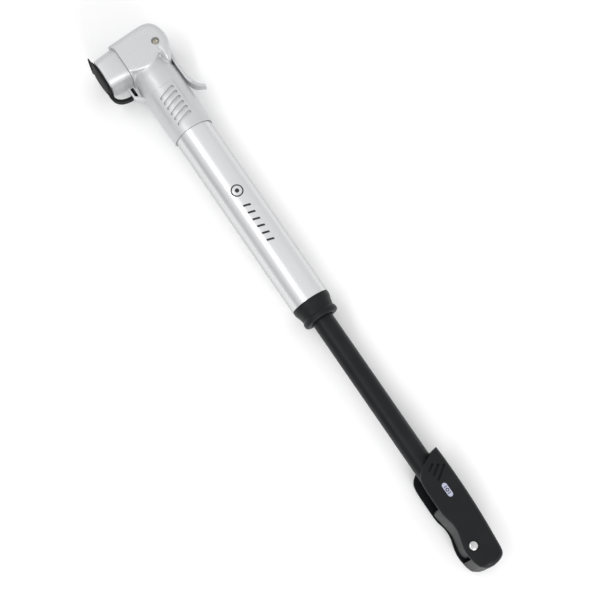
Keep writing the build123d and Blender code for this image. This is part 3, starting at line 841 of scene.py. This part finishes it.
def make_rivet():
    """Domed rivet through the fold."""
    dome = [(10.0, 2.0), (10.0, 2.42), (10.35, 2.45), (10.75, 2.2), (11.05, 1.7), (11.25, 0.9), (11.3, 0)]
    profile = [(-along, radius) for along, radius in reversed(dome)] + dome
    rivet = lathe("fold_rivet_domed", profile, at(fold_x, fold_y), ALONG_Z, 64)
    roll_handle(rivet)
    shade(rivet, 45)
    hand_over(rivet, "handle", "steel", STEEL, "fold_rivet")


def make_handle_mark():
    """A small pale patch with a ring and two bars, printed on the flat of the handle."""
    mark_x, mark_y = 235.0, 0.3
    patch = prism("handle_mark", capsule(mark_x, mark_y, 7.9, 2.8, 1), 10.2, 10.54)
    ring = prism("ring", ring_arc(mark_x, mark_y, 1.0, 0, 350, 35), 10, 11.5)
    hole = prism("hole", ring_arc(mark_x, mark_y, 0.5, 0, 345, 23), 9.8, 11.6)
    combine(ring, [hole], "DIFFERENCE")
    bars = [prism("bar", [(x, -0.7), (x + 0.4, -0.7), (x + 0.4, 1.3), (x, 1.3)], 10, 11.5)
            for x in (233.0, 236.6)]
    combine(patch, [ring] + bars, "DIFFERENCE")
    roll_handle(patch)
    shade(patch, 30)
    hand_over(patch, "handle", "black_plastic", LABEL)


make_head()
make_nozzle_cap()
make_pin()
make_lever()
make_dust_cap()
make_grommet()
make_valve_spring()
make_barrel_mark()
make_collar()
make_knuckle()
make_handle()
make_rivet()
make_handle_mark()


# ---------------------------------------------------------------- table top, light and camera
low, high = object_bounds()
bpy.ops.object.select_all(action="DESELECT")
bpy.ops.mesh.primitive_plane_add(size=8.0, location=(0.1, 0, low.z - 0.05 * MM))
table_top = bpy.context.object
table_top.name = "table_top"
paper = Finish("pale_paper")
paper_tone = paper.between(paper.spread(paper.noise(14, 6), 0.35, 0.7, 0.0, 1.0),
                           (0.925, 0.925, 0.92), (0.945, 0.945, 0.94))
dress(table_top, paper.paint(paper_tone, paper.spread(paper.noise(60, 4), 0.3, 0.7, 0.75, 0.9),
                             paper.bump(paper.noise(900, 6), 0.02), specular=0.2))
paper.surface.inputs["Emission Color"].default_value = (1, 1, 1, 1)
paper.surface.inputs["Emission Strength"].default_value = 0.02

world = bpy.data.worlds.new("tent")
bpy.context.scene.world = world
world.use_nodes = True
sky = world.node_tree
around = sky.nodes.new("ShaderNodeTexCoord")
split = sky.nodes.new("ShaderNodeSeparateXYZ")
sky.links.new(around.outputs["Generated"], split.inputs[0])


def sky_ramp(steps):
    """Greys from the horizon to the top of the tent."""
    ramp = sky.nodes.new("ShaderNodeValToRGB")
    sky.links.new(split.outputs["Z"], ramp.inputs[0])
    ends = ramp.color_ramp.elements
    while len(ends) < len(steps):
        ends.new(0.5)
    for element, (where, grey) in zip(ends, steps):
        element.position = where
        element.color = (grey, grey, grey * 1.015, 1)
    return ramp.outputs[0]


# the tent is open towards -Y, so its lower part is darker there
open_side = sky.nodes.new("ShaderNodeMapRange")
sky.links.new(split.outputs["Y"], open_side.inputs["Value"])
open_side.inputs["From Min"].default_value = -0.75
open_side.inputs["From Max"].default_value = -0.15
tent = sky.nodes.new("ShaderNodeMix")
tent.data_type = "RGBA"
sky.links.new(open_side.outputs["Result"], tent.inputs[0])
sky.links.new(sky_ramp([(0.0, 0.36), (0.2, 0.46), (0.45, 0.80), (1.0, 0.96)]), tent.inputs[6])
sky.links.new(sky_ramp([(0.0, 0.78), (0.2, 0.82), (0.45, 0.88), (1.0, 0.96)]), tent.inputs[7])
sky.links.new(tent.outputs[2], sky.nodes["Background"].inputs[0])


def soft_box(name, place, aim, width, length, watts, turn=0.0):
    """A large soft lamp that faces the object."""
    bpy.ops.object.light_add(type="AREA", location=place)
    lamp = bpy.context.object
    lamp.name = name
    lamp.data.shape = "RECTANGLE"
    lamp.data.size = width
    lamp.data.size_y = length
    lamp.data.energy = watts
    lamp.rotation_mode = "QUATERNION"
    back = (Vector(place) - Vector(aim)).normalized()
    spin = Euler((0, 0, math.radians(turn))).to_quaternion()
    lamp.rotation_quaternion = back.to_track_quat("Z", "Y") @ spin


soft_box("key", (-0.2, -0.62, 1.15), (0.10, 0, 0), 0.12, 1.5, 3.6, 90)
soft_box("side", (1.15, -0.18, 0.50), (0.05, 0, 0), 0.6, 0.4, 6.0)

camera_data = bpy.data.cameras.new("camera")
camera_data.lens = 86.82
camera_data.sensor_width = 36.0
camera = bpy.data.objects.new("camera", camera_data)
bpy.context.scene.collection.objects.link(camera)
camera.location = at(248.79, -97.78, 748.59)
camera.rotation_mode = "QUATERNION"
camera.rotation_quaternion = (at(109.3266, -3.951) - camera.location).to_track_quat("-Z", "Y")
camera_data.clip_start = 0.01
camera_data.clip_end = 50.0
bpy.context.scene.camera = camera
bpy.context.scene.view_settings.view_transform = "Standard"
bpy.context.scene.view_settings.look = "None"
